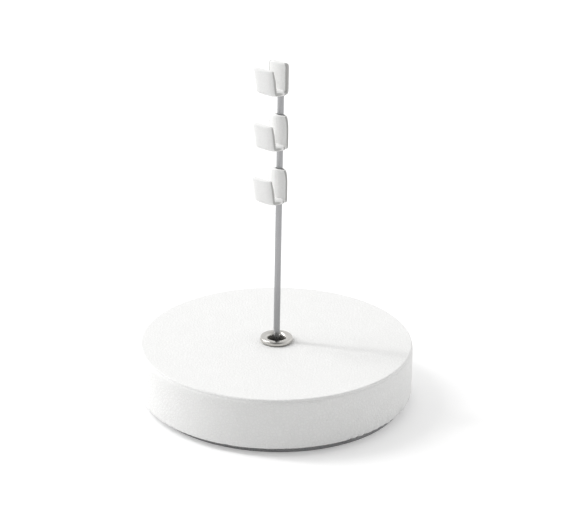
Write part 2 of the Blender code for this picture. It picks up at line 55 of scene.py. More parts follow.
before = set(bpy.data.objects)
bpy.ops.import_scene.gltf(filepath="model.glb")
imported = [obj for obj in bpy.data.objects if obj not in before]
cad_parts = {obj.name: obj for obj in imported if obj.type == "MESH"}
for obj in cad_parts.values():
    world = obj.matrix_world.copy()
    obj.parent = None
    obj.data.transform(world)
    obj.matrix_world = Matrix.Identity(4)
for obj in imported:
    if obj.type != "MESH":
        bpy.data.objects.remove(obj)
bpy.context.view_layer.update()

MM = 0.001
CLIPS = ("lower", "middle", "upper")

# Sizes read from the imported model.
BASE_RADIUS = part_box("base_cover")[1][0]
BASE_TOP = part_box("base_cover")[1][2]
COVER_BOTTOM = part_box("base_cover")[0][2]
PAD_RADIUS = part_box("base_pad")[1][0]
EYELET_LOW, EYELET_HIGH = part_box("eyelet")
ROD_LOW, ROD_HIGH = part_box("rod")
LEG_BELOW_MM = 0.95
CLIP_LEVEL = {label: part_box(label + "_sleeve")[0][2] + LEG_BELOW_MM * MM for label in CLIPS}
LEG_TOP_MM = {label: (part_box(label + "_sleeve")[1][2] - CLIP_LEVEL[label]) / MM for label in CLIPS}
LEG_HALF_WIDTH_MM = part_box("lower_sleeve")[1][0] / MM
FLAP_TOP_MM = (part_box("lower_flap")[1][2] - CLIP_LEVEL["lower"]) / MM

# The camera that the photograph's ellipses and upright give, for a 579 x 512 frame.
FRAME_WIDTH = 579
FOCAL_PIXELS = 2186.6
CAMERA_TARGET = (0.0, 0.0, BASE_TOP)
CAMERA_DISTANCE = 0.650
CAMERA_AZIMUTH = math.radians(38.4)
CAMERA_ELEVATION = math.radians(24.616)
CAMERA_YAW = math.radians(0.326)
CAMERA_PITCH = math.radians(2.216)
CAMERA_ROLL = math.radians(1.121)

# The light. Levels are shares of full white; the lamps' are what each gives a level surface.
FLOOR_GLOW = 0.22
ROOM_LEVEL = 0.74
ROOM_SIDES = 0.8
ROOM_BACK = 0.525
STRIP_BOX_LEVEL = 0.18
SOFT_BOX_LEVEL = 0.215
LAMP_TURN = math.radians(13.6)
LAMP_RISE = math.radians(42.0)
LAMP_DISTANCE = 1.2

# A Mix node's sockets share their names between data types, so they are told by number:
# the share, the two colours and the mixed colour, and the two plain values.
MIX_SHARE, MIX_FIRST, MIX_SECOND, MIX_COLOUR = 0, 6, 7, 2
MIX_VALUE_FIRST, MIX_VALUE_SECOND = 2, 3


# ---------------------------------------------------------------- colours and nodes

def linear(code):
    """The linear red, green, blue and alpha of an sRGB hex code."""
    parts = [int(code[i:i + 2], 16) / 255.0 for i in (0, 2, 4)]
    curve = [p / 12.92 if p <= 0.04045 else ((p + 0.055) / 1.055) ** 2.4 for p in parts]
    return tuple(curve) + (1.0,)


def node(tree, kind, inputs=None, **settings):
    """Adds one node, applies its settings, and sets or links each input that is given."""
    made = tree.nodes.new(kind)
    for key, value in settings.items():
        setattr(made, key, value)
    for key, value in (inputs or {}).items():
        if isinstance(value, bpy.types.NodeSocket):
            tree.links.new(value, made.inputs[key])
        else:
            made.inputs[key].default_value = value
    return made


def new_material(name):
    """A material with only its output, and its node tree."""
    material = bpy.data.materials.new(name)
    material.use_nodes = True
    material.node_tree.nodes.clear()
    return material, material.node_tree


def surface(tree, shader):
    """Links a shader to the material's surface."""
    node(tree, "ShaderNodeOutputMaterial", {"Surface": shader.outputs[0]})


# ---------------------------------------------------------------- materials

def leatherette(name, colour, pebble_mm, depth_mm, mottle):
    """PVC imitation leather, calendered and embossed with a fine pebble.

    To the eye: a soft satin white whose tiny cushions catch raking light, with valleys greyed a
    little by painted shade. The grain follows the piece's own rest place, kept in the attribute
    grain_place.
    pebble_mm is a cushion's width, depth_mm the bump's depth, and mottle how far the skin
    greys in slow patches. The other scales and reaches are given against one pebble.
    """
    material, tree = new_material(name)
    place = node(tree, "ShaderNodeAttribute", attribute_name="grain_place").outputs["Vector"]
    pebble = pebble_mm * MM
    # The embossing roll's cells are uneven: their places wander by a third of a cell.
    wander = node(tree, "ShaderNodeTexNoise",
                  {"Vector": place, "Scale": 0.6 / pebble, "Detail": 1.0})
    warped = node(tree, "ShaderNodeVectorMath",
                  {0: wander.outputs["Color"], 1: (0.7 * pebble,) * 3, 2: place},
                  operation="MULTIPLY_ADD")
    cells = node(tree, "ShaderNodeTexVoronoi",
                 {"Vector": warped.outputs[0], "Scale": 1.0 / pebble}, feature="DISTANCE_TO_EDGE")
    cushion = node(tree, "ShaderNodeMapRange",
                   {"Value": cells.outputs["Distance"], "From Min": 0.0, "From Max": 0.32},
                   interpolation_type="SMOOTHERSTEP")
    # Each cushion is wrinkled a little, and the backing swells slowly, over about six pebbles.
    fine = node(tree, "ShaderNodeTexNoise",
                {"Vector": place, "Scale": 2.6 / pebble, "Detail": 2.0, "Roughness": 0.6})
    slow = node(tree, "ShaderNodeTexNoise",
                {"Vector": place, "Scale": 0.16 / pebble, "Detail": 2.0})
    height = node(tree, "ShaderNodeMath",
                  {0: fine.outputs[0], 1: 0.45, 2: cushion.outputs[0]}, operation="MULTIPLY_ADD")
    height = node(tree, "ShaderNodeMath",
                  {0: slow.outputs[0], 1: 1.1, 2: height.outputs[0]}, operation="MULTIPLY_ADD")
    bump = node(tree, "ShaderNodeBump", {"Height": height.outputs[0], "Distance": depth_mm * MM})
    # Painted shade greys the valleys by a twentieth, and the slow patches grey the skin by the
    # mottle.
    valley_shade = node(tree, "ShaderNodeMapRange",
                  {"Value": cushion.outputs[0], "From Min": 0.0, "From Max": 0.6,
                   "To Min": 0.055, "To Max": 0.0})
    cloud = node(tree, "ShaderNodeMapRange",
                 {"Value": slow.outputs[0], "From Min": 0.3, "From Max": 0.7,
                  "To Min": 0.0, "To Max": mottle})
    grey = node(tree, "ShaderNodeMath", {0: valley_shade.outputs[0], 1: cloud.outputs[0]},
                operation="ADD")
    tint = node(tree, "ShaderNodeMix",
                {MIX_SHARE: grey.outputs[0], MIX_FIRST: colour, MIX_SECOND: linear("9c9b98")},
                data_type="RGBA")
    # Painted shade: near the side edges of the strip and the leg, the skin greys towards b8b8b6.
    cut = node(tree, "ShaderNodeAttribute", attribute_name="edge_shade").outputs["Fac"]
    tint = node(tree, "ShaderNodeMix",
                {MIX_SHARE: cut, MIX_FIRST: tint.outputs[MIX_COLOUR],
                 MIX_SECOND: linear("b8b8b6")}, data_type="RGBA")
    gloss = node(tree, "ShaderNodeMapRange",
                 {"Value": fine.outputs[0], "To Min": 0.50, "To Max": 0.62})
    shader = node(tree, "ShaderNodeBsdfPrincipled",
                  {"Base Color": tint.outputs[MIX_COLOUR], "Roughness": gloss.outputs[0],
                   "IOR": 1.5, "Specular IOR Level": 0.4, "Normal": bump.outputs[0]})
    surface(tree, shader)
    return material


def felt(name, colour):
    """Needled wool-blend felt pad: dark, dry and fibrous, with no gloss."""
    material, tree = new_material(name)
    place = node(tree, "ShaderNodeTexCoord").outputs["Object"]
    # Fibres are 0.02 mm thick; the tufts drawn here are 0.25 mm wide, so that they show.
    tufts = node(tree, "ShaderNodeTexNoise",
                 {"Vector": place, "Scale": 1 / (0.25 * MM), "Detail": 4.0, "Distortion": 1.5})
    shade = node(tree, "ShaderNodeMapRange",
                 {"Value": tufts.outputs[0], "From Min": 0.3, "From Max": 0.7})
    tint = node(tree, "ShaderNodeMix",
                {MIX_SHARE: shade.outputs[0], MIX_FIRST: linear("727274"), MIX_SECOND: colour},
                data_type="RGBA")
    bump = node(tree, "ShaderNodeBump", {"Height": tufts.outputs[0], "Distance": 0.12 * MM})
    shader = node(tree, "ShaderNodeBsdfPrincipled",
                  {"Base Color": tint.outputs[MIX_COLOUR], "Roughness": 0.95,
                   "Specular IOR Level": 0.1, "Sheen Weight": 0.15, "Sheen Roughness": 0.6,
                   "Normal": bump.outputs[0]})
    surface(tree, shader)
    return material


def metal(name, colour, dull, rough, grain_mm, depth_mm, bore_mm=None):
    """A bare or plated metal whose surface is marked by how it was made.

    To the eye: a mirror-like or satin shade, broken by fine lines or dimples. grain_mm is the
    mark's size along x, y and z, depth_mm its depth, rough the range of roughness that it gives,
    and dull the colour it leans to. Plating doesn't brighten a bore: nearer the axis than
    bore_mm the metal is at least half rough, over a soft step of 0.15 mm.
    """
    material, tree = new_material(name)
    place = node(tree, "ShaderNodeTexCoord").outputs["Object"]
    stretched = node(tree, "ShaderNodeMapping",
                     {"Vector": place, "Scale": [1 / (g * MM) for g in grain_mm]})
    marks = node(tree, "ShaderNodeTexNoise",
                 {"Vector": stretched.outputs[0], "Scale": 1.0, "Detail": 3.0, "Roughness": 0.6})
    spread = node(tree, "ShaderNodeMapRange",
                  {"Value": marks.outputs[0], "From Min": 0.3, "From Max": 0.7,
                   "To Min": rough[0], "To Max": rough[1]})
    if bore_mm:
        flat = node(tree, "ShaderNodeVectorMath", {0: place, 1: (1.0, 1.0, 0.0)},
                    operation="MULTIPLY")
        reach = node(tree, "ShaderNodeVectorMath", {0: flat.outputs[0]}, operation="LENGTH")
        inside = node(tree, "ShaderNodeMapRange",
                      {"Value": reach.outputs["Value"], "From Min": bore_mm * MM,
                       "From Max": (bore_mm + 0.15) * MM, "To Min": 0.5, "To Max": 0.0})
        spread = node(tree, "ShaderNodeMath", {0: spread.outputs[0], 1: inside.outputs[0]},
                      operation="MAXIMUM")
    tint = node(tree, "ShaderNodeMix",
                {MIX_SHARE: marks.outputs[0], MIX_FIRST: linear(colour), MIX_SECOND: linear(dull)},
                data_type="RGBA")
    bump = node(tree, "ShaderNodeBump", {"Height": marks.outputs[0], "Distance": depth_mm * MM})
    shader = node(tree, "ShaderNodeBsdfPrincipled",
                  {"Base Color": tint.outputs[MIX_COLOUR], "Metallic": 1.0,
                   "Roughness": spread.outputs[0], "Normal": bump.outputs[0]})
    surface(tree, shader)
    return material


def board(name, light, dark, fibre_mm):
    """Pressed fibreboard or greyboard.

    To the eye: matt and dry, with short flattened fibres of fibre_mm along x, y and z.
    """
    material, tree = new_material(name)
    place = node(tree, "ShaderNodeTexCoord").outputs["Object"]
    stretched = node(tree, "ShaderNodeMapping",
                     {"Vector": place, "Scale": [1 / (f * MM) for f in fibre_mm]})
    fibres = node(tree, "ShaderNodeTexNoise",
                  {"Vector": stretched.outputs[0], "Scale": 1.0, "Detail": 5.0, "Roughness": 0.7})
    tint = node(tree, "ShaderNodeMix",
                {MIX_SHARE: fibres.outputs[0], MIX_FIRST: linear(light), MIX_SECOND: linear(dark)},
                data_type="RGBA")
    bump = node(tree, "ShaderNodeBump", {"Height": fibres.outputs[0], "Distance": 0.05 * MM})
    shader = node(tree, "ShaderNodeBsdfPrincipled",
                  {"Base Color": tint.outputs[MIX_COLOUR], "Roughness": 0.9,
                   "Specular IOR Level": 0.2, "Normal": bump.outputs[0]})
    surface(tree, shader)
    return material


# ---------------------------------------------------------------- surfaces

def fade(distance, reach):
    """1 at no distance, falling evenly to 0 at the reach: 1 - distance / reach, within 0 to 1."""
    return np.clip(1 - distance / reach, 0, 1)


def rounding(distance, reach):
    """A quarter circle from 0 at no distance to 1 at the reach: (1 - fade^2)^(1/2)."""
    return np.sqrt(1 - fade(distance, reach) ** 2)


def bell(distance, width):
    """1 at no distance, sinking smoothly on both sides: exp(-(distance / width)^2)."""
    return np.exp(-(distance / width) ** 2)


def outline(corners, radii, steps):
    """A closed outline in the r-z plane with rounded corners, as an array of points.

    At a corner the outline leaves the straight edge at radius x tan(half the turn) from it and
    follows the circle that touches both edges: centre + radius x the unit vector that turns evenly
    from one touching point to the other. The straight run after corner i has steps[i] even steps.
    """
    corners = np.array(corners, float)
    before, after = np.roll(corners, 1, axis=0), np.roll(corners, -1, axis=0)
    runs = []
    for here, back, ahead, radius in zip(corners, before, after, radii):
        a, b = (back - here), (ahead - here)
        a, b = a / np.linalg.norm(a), b / np.linalg.norm(b)
        if radius <= 0:
            runs.append(here[None])
            continue
        half = math.acos(np.clip(a @ b, -1, 1)) / 2
        middle = here + (a + b) / np.linalg.norm(a + b) * radius / math.sin(half)
        first = here + a * radius / math.tan(half) - middle
        last = here + b * radius / math.tan(half) - middle
        t = np.linspace(0, 1, 9)[:, None]
        sweep = math.pi - 2 * half
        spoke = np.sin((1 - t) * sweep) * first + np.sin(t * sweep) * last
        runs.append(middle + spoke / math.sin(sweep))
    points = []
    for run, following, count in zip(runs, runs[1:] + runs[:1], steps):
        t = np.linspace(0, 1, count + 1)[1:-1, None]
        points += [run, run[-1] * (1 - t) + following[0] * t]
    return np.concatenate(points)


def turned(points, columns):
    """A lathe surface: an outline point (r, z) goes to (r cos a, r sin a, z) for even angles a."""
    a = np.linspace(0, 2 * math.pi, columns, endpoint=False)
    r, z = points[:, 0, None], points[:, 1, None]
    return np.stack([r * np.cos(a), r * np.sin(a), z + 0 * a], axis=-1)


def grid_mesh(name, grid, rows_closed):
    """A mesh of four-sided faces between neighbouring points of a grid whose columns close.

    Poles, where a whole row meets in one point, are merged, and the faces are turned outwards.
    """
    rows, columns = grid.shape[:2]
    index = np.arange(rows * columns).reshape(rows, columns)
    if rows_closed:
        index = np.vstack([index, index[:1]])
    index = np.hstack([index, index[:, :1]])
    quads = np.stack([index[:-1, :-1], index[:-1, 1:], index[1:, 1:], index[1:, :-1]], axis=-1)
    mesh = bpy.data.meshes.new(name)
    mesh.from_pydata(grid.reshape(-1, 3).tolist(), [], quads.reshape(-1, 4).tolist())
    work = bmesh.new()
    work.from_mesh(mesh)
    size = float(np.ptp(grid.reshape(-1, 3), axis=0).max())
    bmesh.ops.remove_doubles(work, verts=work.verts, dist=size * 1e-6)
    bmesh.ops.recalc_face_normals(work, faces=work.faces)
    work.to_mesh(mesh)
    work.free()
    mesh.shade_smooth()
    return mesh


def capped(grid):
    """Closes a tube of rows: the middle of its first row goes before it and of its last after."""
    ends = grid.mean(axis=1, keepdims=True) + 0 * grid
    return np.concatenate([ends[:1], grid, ends[-1:]])


def vertex_array(mesh):
    """The mesh's vertex places as an array."""
    flat = np.empty(len(mesh.vertices) * 3)
    mesh.vertices.foreach_get("co", flat)
    return flat.reshape(-1, 3)


def show(name, mesh, material, sharp_degrees=None, edge_shade=None):
    """Puts a finished mesh in the scene with its material, slot, grain place and painted edge shade.
    """
    mesh.materials.clear()
    mesh.materials.append(material)
    grain = mesh.attributes.new("grain_place", "FLOAT_VECTOR", "POINT")
    grain.data.foreach_set("vector", vertex_array(mesh).ravel())
    if edge_shade is not None:
        mesh.attributes.new("edge_shade", "FLOAT", "POINT").data.foreach_set("value", edge_shade)
    if sharp_degrees:
        mesh.set_sharp_from_angle(angle=math.radians(sharp_degrees))
    piece = bpy.data.objects.new(name, mesh)
    bpy.context.scene.collection.objects.link(piece)
    return piece


# ---------------------------------------------------------------- the base

COVER_COLUMNS = 640
COVER_PROUD = 0.3 * MM          # the glued skin lies this far outside the model's
COVER_THICK = 0.8 * MM
UNDER_FLANGE = 1.52 * MM        # how far the skin reaches in under the eyelet's flange
HEM_WIDTH = 8 * MM
HEM_CORNER = 0.45 * MM
CUT_CORNER = 0.2 * MM
HOLE_CORNER = 0.1 * MM
SIDE_START = 2.2 * MM           # the side's even rows begin this far below the top
SHOULDER_DEPTH, SHOULDER_WIDTH = 0.25 * MM, 1.0 * MM
CREASE_DEPTH, CREASE_BELOW, CREASE_WIDTH = 0.16 * MM, 0.62 * MM, 0.28 * MM
WAVE_DEPTH = 0.012 * MM
WAVE_INSET = 0.036 * MM         # keeps the waves inside the outline
PLEATS_ROUND = 40
PLEATS_CROWDED = 32             # more of them where the wrapping ended,
CROWDED_BETWEEN = (-24, 32)     # between these two angles in degrees
FOLD_LIMIT = 1.2                # pleats that cross don't add up beyond this share of the depth
DIP_DEPTH, DIP_WIDTH = 0.05 * MM, 2.5 * MM
HIGH_SIDE = math.radians(38.4)  # the direction towards which the skin rises
SKIN_SWING, SKIN_RISE = 0.45 * MM, 6 * MM
RIM_SWING_MM, RIM_DROP_MM, RIM_RISE = 0.5, 0.13, 5 * MM
EYELET_HOLE_MM = 2.62
EYELET_DULL_MM = 2.66           # nearer the axis than this the plating is dull


def pleat_table():
    """One row for each pleat of the lower edge: its angle, its share of the full depth, its
    width and height in metres, and its lean as arc per height."""
    draws = np.random.default_rng(7)
    count = PLEATS_ROUND + PLEATS_CROWDED
    angle = np.concatenate([draws.uniform(-math.pi, math.pi, PLEATS_ROUND),
                            np.radians(draws.uniform(*CROWDED_BETWEEN, PLEATS_CROWDED))])
    strength = np.concatenate([draws.uniform(0.15, 0.5, PLEATS_ROUND),
                               draws.uniform(0.35, 1.0, PLEATS_CROWDED)])
    width = draws.uniform(0.25, 0.6, count) * MM
    height = draws.uniform(1.8, 5.5, count) * MM
    lean = draws.uniform(-0.12, 0.12, count)
    return np.column_stack([angle, strength, width, height, lean])


def cover_surface(edge, pleat_depth):
    """The leatherette skin over the base, down its side and turned in underneath.

    A rounded outline is turned round the axis, then moved inwards along the radius by: a soft
    shoulder, depth x bell(distance below the top), where the skin is stretched over the board's
    edge; a crease of the same form just under that edge; slow waves, cos(3a + 1) +
    cos(7a) cos(z / 4 mm) + 0.6 cos(13a + z / 3 mm); and pleats at the bottom edge, each
    share x depth x bell(arc distance) x fade(height)^2, which go on inwards along the turned-in
    hem. The top dips by depth x bell(distance) round the eyelet. The hand-wrapped skin isn't
    quite level: it rises by swing x cos(a - high side) x radius / outer radius, and its lower
    rim by a further swing x cos(a - high side) - drop, faded inwards and upwards.
    """
    top, low, out, wall = BASE_TOP, COVER_BOTTOM, BASE_RADIUS + COVER_PROUD, COVER_THICK
    hole, hem = EYELET_HIGH[0] - UNDER_FLANGE, out - HEM_WIDTH
    points = outline(
        [(hole, top), (out, top), (out, top - SIDE_START), (out, low), (hem, low),
         (hem, low + wall), (out - wall, low + wall), (out - wall, top - wall),
         (hole, top - wall)],
        [HOLE_CORNER, edge, 0, HEM_CORNER, CUT_CORNER, CUT_CORNER, 0, 0, HOLE_CORNER],
        [22, 12, 46, 8, 2, 4, 4, 4, 2])
    grid = turned(points, COVER_COLUMNS)
    radius = np.hypot(grid[..., 0], grid[..., 1])
    angle = np.arctan2(grid[..., 1], grid[..., 0])
    z = grid[..., 2]
    above = np.maximum(z - low, 0)
    # The skin has two faces. The side's shape is given to the outer one, and faded out between.
    outer = np.clip((radius - (out - 0.75 * wall)) / (0.3 * wall), 0, 1)
    shoulder = SHOULDER_DEPTH * bell(z - top, SHOULDER_WIDTH)
    shoulder += CREASE_DEPTH * bell(top - z - CREASE_BELOW, CREASE_WIDTH)
    waves = WAVE_DEPTH * (np.cos(3 * angle + 1) + np.cos(7 * angle) * np.cos(z / (4 * MM))
                          + 0.6 * np.cos(13 * angle + z / (3 * MM)))
    fold = np.zeros_like(z)
    for spot, strength, width, height, lean in pleat_table():
        gap = (angle - spot + math.pi) % (2 * math.pi) - math.pi
        across = gap * out + lean * above
        fold += strength * bell(across, width) * fade(above, height) ** 2
    fold = np.minimum(fold, FOLD_LIMIT) * pleat_depth
    # Pleats show on the side's outer face and on the hem, where they run out 30 mm from the axis.
    pleated = (z < top - wall) & ((radius > out - 0.95 * wall) | (z < low + 0.5 * wall))
    run_out = np.clip((radius - 30 * MM) / (9 * MM), 0, 1)
    inwards = outer * (shoulder + waves + WAVE_INSET) + fold * run_out * pleated
    dip = DIP_DEPTH * bell(radius - EYELET_HIGH[0], DIP_WIDTH) * (z > top - 0.3 * wall)
    rim = np.clip((radius - PAD_RADIUS) / (out - PAD_RADIUS), 0, 1) * fade(above, RIM_RISE) ** 2
    swing = np.cos(angle - HIGH_SIDE)
    lift = rim * (RIM_SWING_MM * swing - RIM_DROP_MM) * MM
    lift += SKIN_SWING * swing * radius / out * np.clip(above / SKIN_RISE, 0, 1)
    factor = (radius - np.maximum(inwards, 0)) / radius
    grid[..., 0] *= factor
    grid[..., 1] *= factor
    grid[..., 2] = z - dip + lift
    return grid_mesh("leatherette_cover", grid, rows_closed=True)


def pad_surface():
    """The felt pad: a flat disc whose cut edge is slightly rounded, a turned outline with poles.
    Its top stays a hair under the cover."""
    r, top = PAD_RADIUS, COVER_BOTTOM - 0.02 * MM
    points = np.array([(0, 0), (r * 0.3, 0), (r * 0.6, 0), (r * 0.85, 0), (r - 0.25 * MM, 0),
                       (r - 0.07 * MM, 0.05 * MM), (r, 0.2 * MM), (r, top * 0.35), (r, top * 0.7),
                       (r - 0.1 * MM, top), (r * 0.6, top), (0, top)])
    return grid_mesh("felt_pad", turned(points, 256), rows_closed=False)


def eyelet_surface(flange_height):
    """The pressed eyelet: its flange is a hollow bead. Over its widest line the section is
    height x (1 - |(r - middle) / half width|^p)^(1/2), p being 2 on the hole's side and 7 on the
    other, and outside it curls under on the quarter ellipse (out - curl (1 - cos t),
    widest - drop sin t). Inside it runs down into the barrel."""
    low, high, out = EYELET_LOW[2], BASE_TOP + flange_height, EYELET_HIGH[0]
    hole, wall, widest = EYELET_HOLE_MM * MM, 0.30 * MM, BASE_TOP + 0.5 * MM
    drop, curl = 0.4 * MM, 0.5 * MM
    seat = widest - drop
    middle, half = (hole + out) / 2, (out - hole) / 2
    t = np.linspace(0, math.pi, 34)
    across = -np.cos(t)
    power = np.where(across < 0, 2.0, 7.0)
    rise = (high - widest) * np.maximum(1 - np.abs(across) ** power, 0) ** 0.5
    bead = np.column_stack([middle + half * across, widest + rise])
    t = np.linspace(0, math.pi / 2, 9)[1:]
    curled = np.column_stack([out - curl * (1 - np.cos(t)), widest - drop * np.sin(t)])
    foot = out - 1.2 * MM
    under = [(hole + wall + 0.3 * MM, seat), (hole + wall, seat - 0.3 * MM),
             (hole + wall, low + wall), (foot, low + wall), (foot, low), (hole + 0.25 * MM, low),
             (hole + 0.05 * MM, low + 0.08 * MM), (hole, low + 0.25 * MM)]
    barrel = np.linspace(low + 0.25 * MM, widest, 12)[1:-1]
    points = np.concatenate([bead, curled, under, np.column_stack([0 * barrel + hole, barrel])])
    return grid_mesh("nickel_eyelet", turned(points, 160), rows_closed=True)


def rod_surface():
    """The rod: a cylinder with a small cone at each end, a turned outline with poles."""
    r, low, high, cone = ROD_HIGH[0], ROD_LOW[2], ROD_HIGH[2], 0.2 * MM
    side = np.linspace(low + cone, high - cone, 40)
    points = np.concatenate([[(0, low), (r - cone, low)], np.stack([0 * side + r, side], axis=-1),
                             [(r - cone, high), (0, high)]])
    return grid_mesh("steel_rod", turned(points, 64), rows_closed=False)


# ---------------------------------------------------------------- the clips (millimetres)

BORE_MM = 1.31
LEG_COLUMNS = 120
LEG_POWER = 5
LEG_FRONT_MM = 2.15
LEG_BACK_MM = -0.6
LEG_CROWN_MM = 2.95
LEG_EDGE_MM = 0.45
LEG_CORNER_MM = 1.2
LEG_NARROWED_MM = 1.6           # the shoulder and corner never take more than this off a side
ROOF_THICK_MM = 0.8
ROOF_FRONT_MM = 1.6             # the roof falls behind y = -1.6
MOUTH_DEPTH_MM = 0.9
MOUTH_WIDER_MM = (0.9, -0.2)    # how much a mouth grows to the right and to the left
MOUTH_FLATTER_MM = 0.15
# The two kinds of back leg: how far the front bows in at the sides, how far the skin swells
# beyond the model's half width, how far in and over what height the shoulder goes, and how
# steeply the roof falls to the back.
LEG_KINDS = {
    "open": {"bulge": 1.35, "swell": 0.2, "shoulder": (1.2, 4.2), "steepness": 0.085},
    "closed": {"bulge": 0.45, "swell": 0.0, "shoulder": (0.9, 1.3), "steepness": 0.115},
}
STRIP_COLUMNS = 96
FLAP_HALF_WIDTH_MM = 3.62
FLAP_BULGE_MM = 0.32
BRIDGE_HALF_THICK_MM = 0.76
FLAP_HALF_THICK_MM = 0.73
FLAP_TOP_HALF_THICK_MM = 0.42
FLAP_THINNING_MM = 3.2
FLAP_END_MM = 0.5
FLAP_CORNER_MM = 0.6
BRIDGE_END_MM = 0.3
BRIDGE_NARROWER_MM, BRIDGE_NARROW_RUN_MM = 0.35, 4.0
BRIDGE_RISE = math.radians(10.5)
FLAP_LEAN = math.radians(9.8)
BEND_POINT_MM = (6.526, 0.640)
BEND_RADIUS_MM = 0.9
BRIDGE_START_MM = 1.5
SPRING_FORWARD_MM = 1.49
SPRING_CORNER_MM = -0.3
SPRING_REACH_MM = 5.45
SPRING_TOP_MM = 7.1
SPRING_HALF_THICK_MM = 0.1
SPRING_BEND_MM = 0.25
SPRING_HALF_WIDTH_MM = 1.6
SPRING_WIDENING_MM, SPRING_WIDENING_RUN_MM = 0.9, 0.8
# Painted shade along the clips' side edges: how far inside the edge it starts, the width over which
# it grows, and how much further in it starts on the closed leg.
EDGE_SHADE_IN_MM, EDGE_SHADE_BLUR_MM = 0.24, 0.12
CLOSED_EDGE_SHADE_MM = 0.3
LEG_AND_FLAP_MEET_MM = -2.5
VOXEL_MM = 0.1
SOFTEN_SHARE, SOFTEN_ROUNDS = 0.5, 5


def soft(value, power):
    """A sine or cosine pushed towards its ends: sign x |value|^(2/power)."""
    return np.sign(value) * np.abs(value) ** (2.0 / power)


def leg_contour(a, inset, half_width, bulge):
    """The back leg's outline at angles a: across it u = soft cos a, and y runs between the front
    -(front - bulge u^2) and the back, back + crown (1 - u^2)^1.25, as soft sin a runs from -1
    to 1. The inset pulls the outline towards its middle by that many millimetres."""
    u, w = soft(np.cos(a), LEG_POWER), soft(np.sin(a), LEG_POWER)
    front = -(LEG_FRONT_MM - bulge * u ** 2)
    back = LEG_BACK_MM + LEG_CROWN_MM * np.maximum(1 - u * u, 0) ** 1.25
    half = np.maximum((back - front) / 2 - inset, 0.05)
    return np.stack([u * (half_width - inset), (front + back) / 2 + w * half], axis=-1)


def leg_surface(is_top, top):
    """The back leg as one closed skin: rows run up the outside, over a rounded top edge, in to the
    bore, down it, and out again under the bottom. Between the outside and the bore a row is the
    straight mix of the two outlines. The sides are pulled in by a rounded corner at the bottom
    and a rounded shoulder at the top. The open clips' bore widens to a lens at the mouth, where
    the folded strip parts round the rod; the top clip's bore ends blind. Every leg's roof falls
    to the back by steepness x (y + front)^2."""
    a = np.linspace(0, 2 * math.pi, LEG_COLUMNS, endpoint=False)
    kind = LEG_KINDS["closed" if is_top else "open"]
    low = -LEG_BELOW_MM
    turn = np.linspace(0, math.pi / 2, 7)
    insets = LEG_EDGE_MM * (1 - np.sin(turn))
    heights = LEG_EDGE_MM * (1 - np.cos(turn))
    side = np.linspace(low + LEG_EDGE_MM, top - LEG_EDGE_MM, 44)[1:-1]
    rise = np.concatenate([low + heights, side, top - heights[::-1]])
    pull = np.concatenate([insets, 0 * side, insets[::-1]])
    near = np.maximum(LEG_CORNER_MM - (rise - low), 0)
    corner = LEG_CORNER_MM - np.sqrt(LEG_CORNER_MM ** 2 - near ** 2)
    reach, height = kind["shoulder"]
    corner += reach * (1 - rounding(top - rise, height))
    corner = np.minimum(corner, LEG_NARROWED_MM)
    widest = LEG_HALF_WIDTH_MM + kind["swell"]
    rows = [np.column_stack([leg_contour(a, p, widest - c, kind["bulge"]), 0 * a + z])
            for p, c, z in zip(pull, corner, rise)]

    def bore(z):
        widen = np.clip((z - top + MOUTH_DEPTH_MM) / MOUTH_DEPTH_MM, 0, 1) ** 1.5
        widen = 0.0 if is_top else widen
        across = np.cos(a)
        half_width = BORE_MM + widen * np.where(across > 0, *MOUTH_WIDER_MM)
        half_depth = BORE_MM - MOUTH_FLATTER_MM * widen
        return np.column_stack([half_width * across, half_depth * np.sin(a), 0 * a + z])

    def between(start, end, count):
        t = np.linspace(0, 1, count + 1)[1:-1, None]
        return [start * (1 - s) + end * s for s in t]

    if is_top:
        roof = top - ROOF_THICK_MM
        pole = np.column_stack([0 * a, 0 * a, 0 * a + top])
        inner_pole = np.column_stack([0 * a, 0 * a, 0 * a + roof])
        inside = bore(roof)
        grid = np.array([inner_pole] + between(inner_pole, inside, 4) + [inside]
                        + [bore(z) for z in np.linspace(roof, low, 34)[1:]]
                        + between(bore(low), rows[0], 8) + rows
                        + between(rows[-1], pole, 12) + [pole])
    else:
        grid = np.array(rows + between(rows[-1], bore(top), 8)
                        + [bore(z) for z in np.linspace(top, low, 44)]
                        + between(bore(low), rows[0], 8))
    fall = kind["steepness"] * np.maximum(grid[..., 1] + ROOF_FRONT_MM, 0) ** 2
    grid[..., 2] -= fall * np.clip(grid[..., 2] / top, 0, 1) ** 3
    return grid_mesh("leg", grid, rows_closed=not is_top)


def carried(line, normal, across, offset):
    """Sections set on a line (forward, up): a point lies across on x and offset along the normal
    from the line's point, and forward is -y."""
    return np.stack([across, -(line[:, :1] + normal[:, :1] * offset),
                     line[:, 1:] + normal[:, 1:] * offset], axis=-1)


